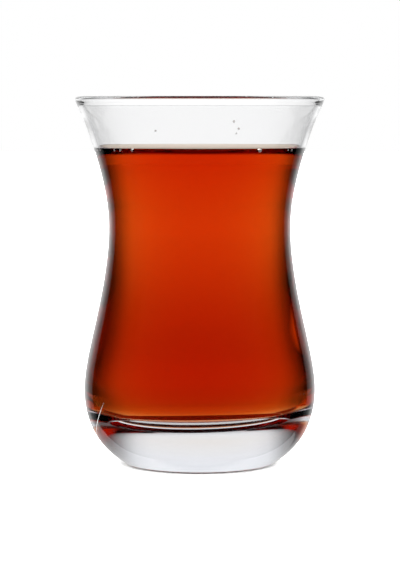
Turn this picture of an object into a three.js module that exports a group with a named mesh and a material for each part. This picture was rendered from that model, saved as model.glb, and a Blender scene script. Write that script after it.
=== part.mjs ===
// A waisted tea glass with a flared lip and a thick foot, filled with black tea.
// Millimetres, +Z up, with the origin at the middle of the foot's flat underside.
import * as THREE from "three";

// Driving dimensions: the outside of the glass
const HEIGHT = 90; // from the table to the top of the lip
const RIM_RADIUS = 30.5; // widest place of the rounded lip
const RIM_SLOPE = THREE.MathUtils.degToRad(65); // rise of the wall where it ends in the lip
const WAIST_RADIUS = 22.3;
const WAIST_HEIGHT = 58.5;
const BELLY_RADIUS = 28.45;
const BELLY_HEIGHT = 18.5;
const FOOT_RADIUS = 18.3; // the flat that the glass stands on
const HEEL_SLOPE = THREE.MathUtils.degToRad(38); // rise of the heel where it leaves the foot

// Driving dimensions: the thickness of the glass
const LIP_THICKNESS = 1.5; // across the bead that ends the wall
const LIP_CROWN = 0.45; // how far the lip's round stands up from the end of the wall
const BEAD_HEIGHT = 2; // the bead, which thickens the wall on its inside
const RIM_WALL = 1.05; // just below the bead
const WAIST_WALL = 1.4;
const BELLY_WALL = 1.8;
const BASE_THICKNESS = 10.45; // at the middle of the bowl's floor
const BOWL_HEIGHT = 22; // where the inside is widest

// Driving dimensions: the tea
const TEA_LEVEL = 76.45; // flat middle of its surface
const MENISCUS_RISE = 1.4; // how far the edge climbs the wall
const MENISCUS_WIDTH = 4;
const TEA_GAP = 0.3; // clearance of the tea from the glass

// How far each smooth curve runs on straight from its ends before it turns
const HEEL_PULL = 2.5;
const BELLY_PULL_DOWN = 13;
const BELLY_PULL_UP = 8.7;
const WAIST_PULL_DOWN = 15.6;
const WAIST_PULL_UP = 10;
const RIM_PULL = 7.2;
const BEAD_PULL = 0.8;
const FLOOR_PULL = 20;
const BOWL_PULL_DOWN = 10;
const MENISCUS_PULL = 1;

// Fineness of the solids
const CURVE_STEPS = 6;
const ROUND_STEPS = 64;
const SHORTEST_STEP = 0.02; // points closer than this count as one

const point = (radius, height) => new THREE.Vector2(radius, height);
const pulled = (from, angle, reach) =>
  point(from.x + reach * Math.cos(angle), from.y + reach * Math.sin(angle));

// The lip is a flattened half round across the end of the wall.
const outward = RIM_SLOPE - Math.PI / 2;
const inward = RIM_SLOPE + Math.PI / 2;
const lipRadius = LIP_THICKNESS / 2;
const lipReach = Math.hypot(lipRadius * Math.cos(outward), LIP_CROWN * Math.sin(outward));
const lipRise = Math.hypot(lipRadius * Math.sin(outward), LIP_CROWN * Math.cos(outward));
const lipCentre = point(RIM_RADIUS - lipReach, HEIGHT - lipRise);
const lipOutside = pulled(lipCentre, outward, lipRadius);
const lipInside = pulled(lipCentre, inward, lipRadius);
const belowBead = pulled(pulled(lipOutside, inward, RIM_WALL), RIM_SLOPE, -BEAD_HEIGHT);

// The wall above a bowl's widest place: in to the waist, then out to the rim.
function upperWall(widest, waist, rim) {
  return [
    new THREE.CubicBezierCurve(
      widest,
      point(widest.x, widest.y + BELLY_PULL_UP),
      point(waist.x, waist.y - WAIST_PULL_DOWN),
      waist,
    ),
    new THREE.CubicBezierCurve(
      waist,
      point(waist.x, waist.y + WAIST_PULL_UP),
      pulled(rim, RIM_SLOPE, -RIM_PULL),
      rim,
    ),
  ];
}

// Half of the outside, from the middle of the foot to the inner edge of the lip.
function outsideCurves() {
  const middle = point(0, 0);
  const foot = point(FOOT_RADIUS, 0);
  const belly = point(BELLY_RADIUS, BELLY_HEIGHT);
  const heel = new THREE.CubicBezierCurve(
    foot,
    pulled(foot, HEEL_SLOPE, HEEL_PULL),
    point(belly.x, belly.y - BELLY_PULL_DOWN),
    belly,
  );
  const lip = new THREE.EllipseCurve(
    lipCentre.x,
    lipCentre.y,
    lipRadius,
    LIP_CROWN,
    0,
    Math.PI,
    false,
    outward,
  );
  return [
    new THREE.LineCurve(middle, foot),
    heel,
    ...upperWall(belly, point(WAIST_RADIUS, WAIST_HEIGHT), lipOutside),
    lip,
  ];
}

// Half of the inside, from the middle of the bowl's floor up to the bead, moved in by an inset.
function insideCurves(inset) {
  const middle = point(0, BASE_THICKNESS + inset);
  const bowl = point(BELLY_RADIUS - BELLY_WALL - inset, BOWL_HEIGHT);
  const waist = point(WAIST_RADIUS - WAIST_WALL - inset, WAIST_HEIGHT);
  const floor = new THREE.CubicBezierCurve(
    middle,
    point(FLOOR_PULL, middle.y),
    point(bowl.x, bowl.y - BOWL_PULL_DOWN),
    bowl,
  );
  return [floor, ...upperWall(bowl, waist, point(belowBead.x - inset, belowBead.y))];
}

// The points along a run of curves, without any that coincide.
function sampled(curves) {
  const path = new THREE.CurvePath();
  curves.forEach((curve) => path.add(curve));
  return path
    .getPoints(CURVE_STEPS)
    .filter((p, i, all) => i === 0 || p.distanceTo(all[i - 1]) > SHORTEST_STEP);
}

// The radius of an outline that rises all the way, at a given height.
function radiusAt(outline, height) {
  const above = outline.findIndex((p) => p.y > height);
  const [low, high] = [outline[above - 1], outline[above]];
  return THREE.MathUtils.mapLinear(height, low.y, high.y, low.x, high.x);
}

// A solid turned about Z from its half section, which runs up the outside and back to the axis.
function turned(name, section, material) {
  const geometry = new THREE.LatheGeometry(section, ROUND_STEPS).rotateX(Math.PI / 2);
  const mesh = new THREE.Mesh(geometry, material);
  mesh.name = name;
  return mesh;
}

function makeGlass() {
  const bead = new THREE.CubicBezierCurve(
    belowBead,
    pulled(belowBead, RIM_SLOPE, BEAD_PULL),
    pulled(lipInside, RIM_SLOPE, -BEAD_PULL),
    lipInside,
  );
  const inside = sampled([...insideCurves(0), bead]);
  const section = [...sampled(outsideCurves()), ...inside.reverse().slice(1)];
  const clearGlass = new THREE.MeshStandardMaterial({
    color: 0xf1f4f5,
    roughness: 0.03,
    metalness: 0,
    transparent: true,
    opacity: 0.3,
  });
  return turned("glass", section, clearGlass);
}

// The tea fills the bowl to its level, and its edge climbs the wall a little.
function makeTea() {
  const wall = sampled(insideCurves(TEA_GAP));
  const edgeHeight = TEA_LEVEL + MENISCUS_RISE;
  const edge = point(radiusAt(wall, edgeHeight), edgeHeight);
  const meniscus = new THREE.QuadraticBezierCurve(
    edge,
    point(edge.x - MENISCUS_PULL, TEA_LEVEL),
    point(edge.x - MENISCUS_WIDTH, TEA_LEVEL),
  );
  const surface = new THREE.LineCurve(meniscus.v2, point(0, TEA_LEVEL));
  const section = [...wall.filter((p) => p.y < edgeHeight), ...sampled([meniscus, surface])];
  const blackTea = new THREE.MeshStandardMaterial({
    color: 0xad2203,
    roughness: 0.03,
    metalness: 0,
    transparent: true,
    opacity: 0.9,
  });
  return turned("tea", section, blackTea);
}

const teaGlass = new THREE.Group();
teaGlass.add(makeGlass(), makeTea());

export default teaGlass;
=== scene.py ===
"""The looks of a waisted tea glass filled with black tea, in metres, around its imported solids."""
import math

import bmesh
import bpy
import numpy as np
from mathutils import Matrix, Vector


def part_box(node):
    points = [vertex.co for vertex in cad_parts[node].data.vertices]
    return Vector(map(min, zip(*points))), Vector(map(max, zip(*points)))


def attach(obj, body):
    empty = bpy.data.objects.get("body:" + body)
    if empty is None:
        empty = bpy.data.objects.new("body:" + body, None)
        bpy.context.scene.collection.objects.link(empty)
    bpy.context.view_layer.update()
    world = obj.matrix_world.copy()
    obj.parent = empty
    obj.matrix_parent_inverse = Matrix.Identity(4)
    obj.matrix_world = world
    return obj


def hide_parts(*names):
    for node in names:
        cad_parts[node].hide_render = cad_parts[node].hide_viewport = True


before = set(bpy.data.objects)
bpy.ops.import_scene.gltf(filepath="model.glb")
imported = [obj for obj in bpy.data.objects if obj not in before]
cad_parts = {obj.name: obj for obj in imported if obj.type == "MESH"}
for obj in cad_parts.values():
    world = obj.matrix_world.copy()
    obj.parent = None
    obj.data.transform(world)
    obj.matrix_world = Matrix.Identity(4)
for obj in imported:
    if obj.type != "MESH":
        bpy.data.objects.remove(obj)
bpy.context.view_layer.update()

MM = 0.001

# Refractive indices
GLASS_INDEX = 1.52
TEA_INDEX = 1.333
MATCHED_INDEX = 1.0  # for a face that bends nothing, because the face beside it already does

# What the bodies take from the light that crosses them: colour, and density for each metre
GLASS_TINT = ((0.63, 0.74, 0.925), 10.0)  # counts within the tea too
TEA_TINT = ((0.955, 0.53, 0.005), 170.0)  # what the tea takes on top of that

# Shine on faces inside the drink
WET_SHINE = 0.2  # how much of its plain shine the glass keeps where the tea wets it
EDGE_SHINE = 0.05  # the same for the tea's thin edge, seen from inside

# Swells in the surfaces: how far apart, and how deep
GLASS_WAVES = (14 * MM, 0.01 * MM)
TEA_WAVES = (18 * MM, 0.004 * MM)
WAVE_DETAIL = 1.0

# Matt surfaces: their darkest and palest greys, and how many mottles to the metre
# Painted highlight: the bubbles' pale matt greys, which the even matt light turns into bright glints
PAINTED_BUBBLE_GLINT = (0.8, 0.95, 2000)
# Painted highlight: the greys of the matt line on the lower left, which the even matt light turns white
PAINTED_HIGHLIGHT_GREYS = (0.15, 0.3, 1000)
PALE_BOARD = (0.88, 0.91, 40)
MATT_ROUGHNESS = 0.9

# Fineness of the pieces
ROUND_STEPS = 192
STEPS_BETWEEN = 5  # rings from one ring of the solid to the next
BEAD_FINENESS = 3
ON_AXIS = 0.01 * MM  # what is nearer to the axis counts as on it

# Small forms that the solids leave plain
FOOT_ROUND = 0.7 * MM  # how far the foot's edge is rounded off
INTO_WALL = 0.05 * MM  # how far the tea reaches into the glass
FLOOR_LEAN = math.radians(1.0)  # the bowl's floor is a little higher on the right

# Bubbles along the tea's front edge: degrees to the right of the front, and radius in millimetres
BUBBLES = ((-76, 0.3), (-71, 0.22), (-54, 0.25), (-49, 0.3), (-40, 0.3), (35, 0.45), (57, 0.2), (61, 0.3))
BUBBLE_DROP = 0.5 * MM  # from the edge of the tea

# Droplets on the dry wall: degrees to the right of the front, height and radius in millimetres
DROPLETS = ((-23, 82, 0.24), (17, 84.2, 0.28), (20, 82.5, 0.26), (19, 81.4, 0.2))

# A fine pale line on the lower left, a painted highlight that stands for a curved highlight on the outer
# glass: heights of its ends, angle at the top, and how that changes
HIGHLIGHT_LINE_HEIGHTS = (16.8 * MM, 5 * MM)
HIGHLIGHT_LINE_ANGLE = math.radians(-54)
HIGHLIGHT_LINE_TURN = math.radians(-17)
HIGHLIGHT_LINE_BEND = math.radians(-11.4)
HIGHLIGHT_LINE_WIDTH = 0.19 * MM
HIGHLIGHT_LINE_STEPS = 32

# The height of the picture in pixels, and the camera that fits the glass to it
PICTURE_HEIGHT = 570
FOCAL_PIXELS = 2449
CAMERA_DISTANCE = 600 * MM
CAMERA_HEIGHT = 88 * MM
AIM_HEIGHT = 43.8 * MM
SIDE_SHIFT = 0.07 * MM
SENSOR_WIDTH = 36

# Studio: bright panels around the glass, with angles in degrees and light as a share of full
PANELS = (-1, -115, 135, -168)  # azimuths of their middles, from straight behind the glass to the right

# How a panel's light falls off to its sides and over its height
PANEL_EDGE = ((19.5, 1.0), (26.5, 0.9), (32, 0.65), (37, 0.4), (44.5, 0.19), (48, 0.12))
NARROWS_BELOW = -8  # the panels are narrower lower than this
NARROWING = 0.9  # how much faster a panel fades to its sides, for each radian lower
PANEL_HEIGHT = ((-66, 0.02), (-56, 0.6), (-15, 0.72), (-9, 0.92), (-4, 1.0), (8, 1.0), (22, 0.88))
PANEL_LIGHT = 1.08

# Dark places between and above the panels
ROOF = ((22, 1.0), (28, 0.02))  # dark above the panels
SIDE_ROOF_LOWER = 13  # and lower at the sides
SIDE_FROM = 60  # azimuths of the sides, to the left and the right
SIDE_TO = 104
GAPS_END = ((-19.8, 0.0), (-18.6, 1.0))  # the dark gaps between the panels end at this height
RIGHT_GAPS_LOWER = 7  # and this much lower on the right
BACK_WIDTH = 46  # reflections see the light out to here
DARK_SIDE = 0.005
FLAG = (-75, -45, -24, -16)  # a dark card low on the left: its sides, foot and top
FLAG_FADE = 2
FLAG_LIGHT = 0.2

# Floor, and the even light on all that is matt
FLOOR_SIZE = 8
FLOOR_DEPTH = 0.2 * MM  # how far it lies below the foot
MATT_LIGHT = 8.0

# How many clear or shiny faces light may meet on its way
CLEAR_BOUNCES = 32
SHINE_BOUNCES = 16


# The outlines of the solids

def meridian(node):
    """The half section of a turned solid, as (radius, height) rows from the axis round to the axis."""
    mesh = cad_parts[node].data
    places = {}
    keys = {}
    for vertex in mesh.vertices:
        x, y, z = vertex.co
        if abs(x) < ON_AXIS and y < ON_AXIS:
            key = (round(-y / ON_AXIS), round(z / ON_AXIS))
            places[key] = (max(-y, 0.0), z)
            keys[vertex.index] = key
    beside = {key: set() for key in places}
    for edge in mesh.edges:
        a, b = (keys.get(i) for i in edge.vertices)
        if a and b and a != b:
            beside[a].add(b)
            beside[b].add(a)
    walk = [min((key for key in places if key[0] == 0), key=lambda key: key[1])]
    onward = beside[walk[0]]
    while onward:
        walk.append(max(onward))
        onward = beside[walk[-1]] - set(walk)
    return np.array([places[key] for key in walk])


def spline(points, steps=STEPS_BETWEEN):
    """A curve of even curvature through all the points, with more points between them."""
    points = np.asarray(points)
    lengths = np.linalg.norm(np.diff(points, axis=0), axis=1)
    slopes = np.diff(points, axis=0) / lengths[:, None]
    system = np.eye(len(points))
    right = np.zeros_like(points)
    for i in range(1, len(points) - 1):
        system[i, i - 1:i + 2] = lengths[i - 1], 2 * (lengths[i - 1] + lengths[i]), lengths[i]
        right[i] = 6 * (slopes[i] - slopes[i - 1])
    bends = np.linalg.solve(system, right)
    made = []
    for i, length in enumerate(lengths):
        for t in np.arange(steps) / steps * length:
            rest = length - t
            cubic = (bends[i] * rest**3 + bends[i + 1] * t**3) / (6 * length)
            low = (points[i] / length - bends[i] * length / 6) * rest
            high = (points[i + 1] / length - bends[i + 1] * length / 6) * t
            made.append(cubic + low + high)
    return np.array(made + [points[-1]])


def split_at(points, height):
    """A falling run of points in two parts, which share a new point at the height."""
    below = int(np.argmax(points[:, 1] < height))
    high, low = points[below - 1], points[below]
    cut = high + (low - high) * (high[1] - height) / (high[1] - low[1])
    return np.vstack([points[:below], cut]), np.vstack([cut, points[below:]])


def into_wall(points):
    """A rising run of points on the glass's inside, moved outward into the glass."""
    along = np.gradient(points, axis=0)
    along /= np.linalg.norm(along, axis=1)[:, None]
    moved = points + INTO_WALL * np.stack([along[:, 1], -along[:, 0]], axis=1)
    moved[0, 0] = 0
    return moved


def glass_runs(outline, contact):
    """The glass's section in two runs: its outside and dry inside, then the inside that the tea wets."""
    middle, corner, heel = outline[:3]
    before = corner + (middle - corner) * FOOT_ROUND / np.linalg.norm(middle - corner)
    after = corner + (heel - corner) * FOOT_ROUND / np.linalg.norm(heel - corner)
    t = np.linspace(0, 1, STEPS_BETWEEN + 1)[:, None]
    foot = before * (1 - t) ** 2 + corner * 2 * t * (1 - t) + after * t**2
    past_axis = outline[-2] * (-1, 1)
    wall = spline([after, *outline[2:], past_axis])[:-STEPS_BETWEEN]
    top = int(np.argmax(wall[:, 1]))
    dry, wet = split_at(wall[top:], contact)
    return np.vstack([middle, foot, wall[1:top + 1], dry[1:]]), wet


def tea_top_runs(outline, edge):
    """The tea's climb down from its edge on the wall, and its level surface in to the axis."""
    points = outline[int(np.argmax(outline[:, 1])):].copy()
    level = int(np.argmax(points[:, 1] < points[-1, 1] + ON_AXIS))
    share = (points[:, 0] - points[level, 0]) / (points[0, 0] - points[level, 0])
    points[:, 0] += np.clip(share, 0, 1) * (edge[0] - points[0, 0])
    points[0] = edge
    onward = points[level] + (points[level, 0] - points[level - 1, 0], 0)
    climb = spline([*points[:level + 1], onward])[:-STEPS_BETWEEN]
    return climb, np.vstack([climb[-1], points[-1]])


# Pieces

def add_piece(name, mesh):
    """A new object of the part, which rides on its one body."""
    piece = bpy.data.objects.new(name, mesh)
    bpy.context.scene.collection.objects.link(piece)
    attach(piece, "root")
    return piece


def around(radius, angle, height):
    """A place on a circle about Z, by its angle to the right of the front."""
    return radius * math.sin(angle), -radius * math.cos(angle), height


def turned(name, runs):
    """A mesh turned about Z from runs of (points, material, lean), which join end to end."""
    vertices = []
    rings = []
    materials = []
    for index, (points, _, lean) in enumerate(runs):
        for radius, height in points[1 if rings else 0:]:
            steps = 1 if radius < ON_AXIS else ROUND_STEPS
            ring = [around(radius, 2 * math.pi * i / steps, height) for i in range(steps)]
            start = len(vertices)
            vertices += [(x, y, z + x * lean(z)) for x, y, z in ring]
            rings.append([start + i % steps for i in range(ROUND_STEPS)])
            materials.append(index)
    faces = []
    owners = []
    for low, high, owner in zip(rings, rings[1:], materials[1:]):
        for i in range(ROUND_STEPS):
            corners = low[i - 1], low[i], high[i], high[i - 1]
            faces.append(list(dict.fromkeys(corners)))
            owners.append(owner)
    mesh = bpy.data.meshes.new(name)
    mesh.from_pydata(vertices, [], faces)
    for _, material, _ in runs:
        mesh.materials.append(material)
    mesh.polygons.foreach_set("material_index", owners)
    mesh.polygons.foreach_set("use_smooth", [True] * len(faces))
    mesh.update()
    return mesh


def beads(name, places, material):
    """Little round beads in one mesh, from (centre, radius) pairs."""
    made = bmesh.new()
    for centre, radius in places:
        place = Matrix.Translation(centre)
        bmesh.ops.create_icosphere(made, subdivisions=BEAD_FINENESS, radius=radius, matrix=place)
    mesh = bpy.data.meshes.new(name)
    made.to_mesh(mesh)
    made.free()
    mesh.materials.append(material)
    mesh.polygons.foreach_set("use_smooth", [True] * len(mesh.polygons))
    return mesh


# Materials

def clear_material(name, index, waves, shine=1.0):
    """A clear smooth body, with low swells in its surface as pressed glass has."""
    material = bpy.data.materials.new(name)
    material.use_nodes = True
    tree = material.node_tree
    shader = tree.nodes["Principled BSDF"]
    shader.inputs["Base Color"].default_value = (1, 1, 1, 1)
    shader.inputs["Roughness"].default_value = 0.0
    shader.inputs["IOR"].default_value = index
    shader.inputs["Transmission Weight"].default_value = 1.0
    shader.inputs["Specular Tint"].default_value = (shine, shine, shine, 1)
    apart, depth = waves
    place = tree.nodes.new("ShaderNodeTexCoord")
    noise = tree.nodes.new("ShaderNodeTexNoise")
    noise.inputs["Scale"].default_value = 1 / apart
    noise.inputs["Detail"].default_value = WAVE_DETAIL
    bump = tree.nodes.new("ShaderNodeBump")
    bump.inputs["Distance"].default_value = depth
    tree.links.new(place.outputs["Object"], noise.inputs["Vector"])
    tree.links.new(noise.outputs["Fac"], bump.inputs["Height"])
    tree.links.new(bump.outputs["Normal"], shader.inputs["Normal"])
    return material


def add_absorption(material, colour, density):
    """Takes colour out of the light that crosses the body."""
    tree = material.node_tree
    volume = tree.nodes.new("ShaderNodeVolumeAbsorption")
    volume.inputs["Color"].default_value = (*colour, 1)
    volume.inputs["Density"].default_value = density
    tree.links.new(volume.outputs["Volume"], tree.nodes["Material Output"].inputs["Volume"])


def glass_material(name):
    """Glass where it meets the air."""
    material = clear_material(name, GLASS_INDEX, GLASS_WAVES)
    add_absorption(material, *GLASS_TINT)
    return material


def tea_material(name, index, shine=1.0):
    """Tea, by the index that its face has and the shine that it keeps."""
    material = clear_material(name, index, TEA_WAVES, shine)
    add_absorption(material, *TEA_TINT)
    return material


def matt_material(name, dark, pale, scale):
    """A matt pale surface with a faint mottle between two greys."""
    material = bpy.data.materials.new(name)
    material.use_nodes = True
    tree = material.node_tree
    shader = tree.nodes["Principled BSDF"]
    shader.inputs["Roughness"].default_value = MATT_ROUGHNESS
    shader.inputs["Specular IOR Level"].default_value = 0.0
    place = tree.nodes.new("ShaderNodeTexCoord")
    noise = tree.nodes.new("ShaderNodeTexNoise")
    noise.inputs["Scale"].default_value = scale
    mottle = tree.nodes.new("ShaderNodeValToRGB")
    mottle.color_ramp.elements[0].color = (dark, dark, dark, 1)
    mottle.color_ramp.elements[1].color = (pale, pale, pale, 1)
    tree.links.new(place.outputs["Object"], noise.inputs["Vector"])
    tree.links.new(noise.outputs["Fac"], mottle.inputs["Fac"])
    tree.links.new(mottle.outputs["Color"], shader.inputs["Base Color"])
    return material


# Glass and tea

def build_drink():
    """The glass and its tea, and the runs of the glass's section that carry the finer pieces."""
    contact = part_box("tea")[1].z
    outside, wet = glass_runs(meridian("glass"), contact)
    side = into_wall(wet[::-1])
    climb, surface = tea_top_runs(meridian("tea"), side[-1])
    floor = wet[-1, 1]
    widest = wet[np.argmax(wet[:, 0]), 1]

    def upright(height):
        return 0.0

    def leaning(height):
        share = (widest - height) / (widest - floor)
        return math.tan(FLOOR_LEAN) * min(max(share, 0.0), 1.0)

    glass = add_piece("tea_glass", turned("tea_glass", [
        (outside, glass_material("clear_glass"), upright),
        (wet, clear_material("wet_glass", GLASS_INDEX / TEA_INDEX, GLASS_WAVES, WET_SHINE), leaning),
    ]))
    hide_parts("glass")
    tea = add_piece("tea_drink", turned("tea_drink", [
        (side, tea_material("tea_on_glass", MATCHED_INDEX), leaning),
        (climb, tea_material("tea_edge", TEA_INDEX, EDGE_SHINE), upright),
        (surface, tea_material("tea_surface", TEA_INDEX), upright),
    ]))
    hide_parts("tea")
    return outside, wet


def add_bubbles(wet):
    """Tiny bubbles where the tea's edge meets the wall, as pale matt beads: a painted highlight that
    stands for their glints.
    """
    edge_radius, edge_height = wet[0]
    places = []
    for angle, radius in BUBBLES:
        reach = edge_radius - radius * MM - INTO_WALL
        places.append((around(reach, math.radians(angle), edge_height - BUBBLE_DROP), radius * MM))
    # painted highlight: pale matt beads in place of the glints of clear bubbles
    painted_bubble_glint = matt_material("painted_bubble_glint", *PAINTED_BUBBLE_GLINT)
    add_piece("bubbles", beads("bubbles", places, painted_bubble_glint))


def add_droplets(outside):
    """A few droplets that cling to the dry inside."""
    inside = outside[int(np.argmax(outside[:, 1])):][::-1]
    places = []
    for angle, height, radius in DROPLETS:
        wall = np.interp(height * MM, inside[:, 1], inside[:, 0])
        places.append((around(wall - radius * MM / 2, math.radians(angle), height * MM), radius * MM))
    water = clear_material("droplet_water", TEA_INDEX, TEA_WAVES)
    add_piece("droplets", beads("droplets", places, water))


def add_painted_highlight_line(outside):
    """A fine pale line, a painted highlight, that runs down round the lower left of the glass, thinner to
    its ends.
    """
    top, bottom = HIGHLIGHT_LINE_HEIGHTS
    belly = int(np.argmax(outside[:, 0] * (outside[:, 1] < 2 * top)))
    wall = outside[:belly]
    line = bpy.data.curves.new("painted_highlight_line", "CURVE")
    line.dimensions = "3D"
    line.bevel_depth = HIGHLIGHT_LINE_WIDTH / 2
    run = line.splines.new("POLY")
    run.points.add(HIGHLIGHT_LINE_STEPS)
    for i, point in enumerate(run.points):
        t = i / HIGHLIGHT_LINE_STEPS
        height = top + (bottom - top) * t
        angle = HIGHLIGHT_LINE_ANGLE + HIGHLIGHT_LINE_TURN * t + HIGHLIGHT_LINE_BEND * t * t
        point.co = (*around(np.interp(height, wall[:, 1], wall[:, 0]), angle, height), 1)
        point.radius = math.sin(math.pi * t)
    # painted highlight: a matt line that the even matt light turns white, in place of a curved highlight
    line.materials.append(matt_material("painted_highlight_matt", *PAINTED_HIGHLIGHT_GREYS))
    add_piece("painted_highlight_line", line)


# Stage, light and camera

def add_floor():
    """A pale floor just below the foot, which clear bodies don't show."""
    bpy.ops.mesh.primitive_plane_add(size=FLOOR_SIZE, location=(0, 0, -FLOOR_DEPTH))
    floor = bpy.context.object
    floor.name = "floor"
    floor.data.materials.append(matt_material("pale_board", *PALE_BOARD))
    floor.visible_transmission = False
    floor.visible_glossy = False


def calc(tree, operation, *inputs):
    """One step of arithmetic on numbers or outputs of other nodes."""
    node = tree.nodes.new("ShaderNodeMath")
    node.operation = operation
    for socket, value in zip(node.inputs, inputs):
        if isinstance(value, (int, float)):
            socket.default_value = value
        else:
            tree.links.new(value, socket)
    return node.outputs[0]


def graph(tree, angle, stops):
    """A number read off straight lines between (degrees, number) stops, by an angle in radians."""
    node = tree.nodes.new("ShaderNodeValToRGB")
    elements = node.color_ramp.elements
    while len(elements) < len(stops):
        elements.new(0.5)
    for element, (degrees, number) in zip(elements, stops):
        element.position = degrees / 360 + 0.5
        element.color = (number, number, number, 1)
    tree.links.new(calc(tree, "MULTIPLY_ADD", angle, 0.5 / math.pi, 0.5), node.inputs["Fac"])
    return node.outputs["Color"]


def band(tree, angle, start, end):
    """One between two angles in degrees, fading to nothing outside them."""
    return graph(tree, angle, ((start - FLAG_FADE, 0.0), (start, 1.0), (end, 1.0), (end + FLAG_FADE, 0.0)))


def blend(tree, share, first, second):
    """The first number, giving way to the second as the share goes from 0 to 1."""
    kept = calc(tree, "MULTIPLY", first, calc(tree, "SUBTRACT", 1.0, share))
    return calc(tree, "MULTIPLY_ADD", second, share, kept)


def angle_from(tree, azimuth, degrees):
    """How far an azimuth is from the one in degrees, whichever way round is shorter."""
    turn = calc(tree, "SUBTRACT", azimuth, math.radians(degrees))
    return calc(tree, "ARCCOSINE", calc(tree, "COSINE", turn))


def panel_light(tree, right, azimuth, turn, height):
    """The light of the panels from each direction, with its gaps, roof and flag."""
    drop = calc(tree, "MAXIMUM", calc(tree, "SUBTRACT", math.radians(NARROWS_BELOW), height), 0.0)
    spread = calc(tree, "MULTIPLY_ADD", drop, NARROWING, 1.0)
    panels = DARK_SIDE
    for middle in PANELS:
        away = calc(tree, "MULTIPLY", angle_from(tree, azimuth, middle), spread)
        panels = calc(tree, "MAXIMUM", panels, graph(tree, away, PANEL_EDGE))
    on_right = calc(tree, "GREATER_THAN", right, 0.0)
    gap_height = calc(tree, "MULTIPLY_ADD", on_right, math.radians(RIGHT_GAPS_LOWER), height)
    light = blend(tree, graph(tree, gap_height, GAPS_END), 1.0, panels)
    light = calc(tree, "MULTIPLY", light, graph(tree, height, PANEL_HEIGHT))
    light = calc(tree, "MULTIPLY", light, PANEL_LIGHT)
    past_back = calc(tree, "GREATER_THAN", turn, math.radians(SIDE_FROM))
    aside = calc(tree, "MULTIPLY", past_back, calc(tree, "LESS_THAN", turn, math.radians(SIDE_TO)))
    roof_height = calc(tree, "MULTIPLY_ADD", aside, math.radians(SIDE_ROOF_LOWER), height)
    light = calc(tree, "MULTIPLY", light, graph(tree, roof_height, ROOF))
    flag = calc(tree, "MULTIPLY", band(tree, azimuth, *FLAG[:2]), band(tree, height, *FLAG[2:]))
    light = calc(tree, "MULTIPLY", light, blend(tree, flag, 1.0, FLAG_LIGHT))
    return light


def build_world():
    """A white studio whose panels show in clear bodies only, with even light on matt ones."""
    world = bpy.data.worlds.new("studio")
    world.use_nodes = True
    bpy.context.scene.world = world
    tree = world.node_tree
    direction = tree.nodes.new("ShaderNodeTexCoord")
    axes = tree.nodes.new("ShaderNodeSeparateXYZ")
    tree.links.new(direction.outputs["Generated"], axes.inputs["Vector"])
    right, back, up = axes.outputs
    azimuth = calc(tree, "ARCTAN2", right, back)
    turn = angle_from(tree, azimuth, 0)
    light = panel_light(tree, right, azimuth, turn, calc(tree, "ARCSINE", up))
    behind = calc(tree, "LESS_THAN", turn, math.radians(BACK_WIDTH))
    mirrored = calc(tree, "MULTIPLY", light, calc(tree, "MAXIMUM", behind, DARK_SIDE))

    ray = tree.nodes.new("ShaderNodeLightPath")
    light = blend(tree, ray.outputs["Is Reflection Ray"], light, mirrored)
    light = blend(tree, ray.outputs["Is Diffuse Ray"], light, MATT_LIGHT)
    light = blend(tree, ray.outputs["Is Camera Ray"], light, 1.0)
    glow = tree.nodes["Background"]
    glow.inputs["Color"].default_value = (1, 1, 1, 1)
    tree.links.new(light, glow.inputs["Strength"])


def add_camera():
    """A camera at about the height of the rim, which looks slightly down."""
    camera = bpy.data.objects.new("camera", bpy.data.cameras.new("camera"))
    bpy.context.scene.collection.objects.link(camera)
    bpy.context.scene.camera = camera
    camera.data.sensor_width = SENSOR_WIDTH
    camera.data.lens = FOCAL_PIXELS * SENSOR_WIDTH / PICTURE_HEIGHT
    eye = Vector((SIDE_SHIFT, -CAMERA_DISTANCE, CAMERA_HEIGHT))
    aim = Vector((SIDE_SHIFT, 0, AIM_HEIGHT))
    camera.location = eye
    camera.rotation_euler = (aim - eye).to_track_quat("-Z", "Y").to_euler()


def set_light_paths():
    """Enough bounces for light to cross the walls, and colours shown as they are."""
    scene = bpy.context.scene
    scene.view_settings.view_transform = "Standard"
    scene.cycles.max_bounces = CLEAR_BOUNCES
    scene.cycles.transmission_bounces = CLEAR_BOUNCES
    scene.cycles.glossy_bounces = SHINE_BOUNCES
    scene.cycles.transparent_max_bounces = SHINE_BOUNCES


outside, wet = build_drink()
add_bubbles(wet)
add_droplets(outside)
add_painted_highlight_line(outside)
add_floor()
build_world()
add_camera()
set_light_paths()
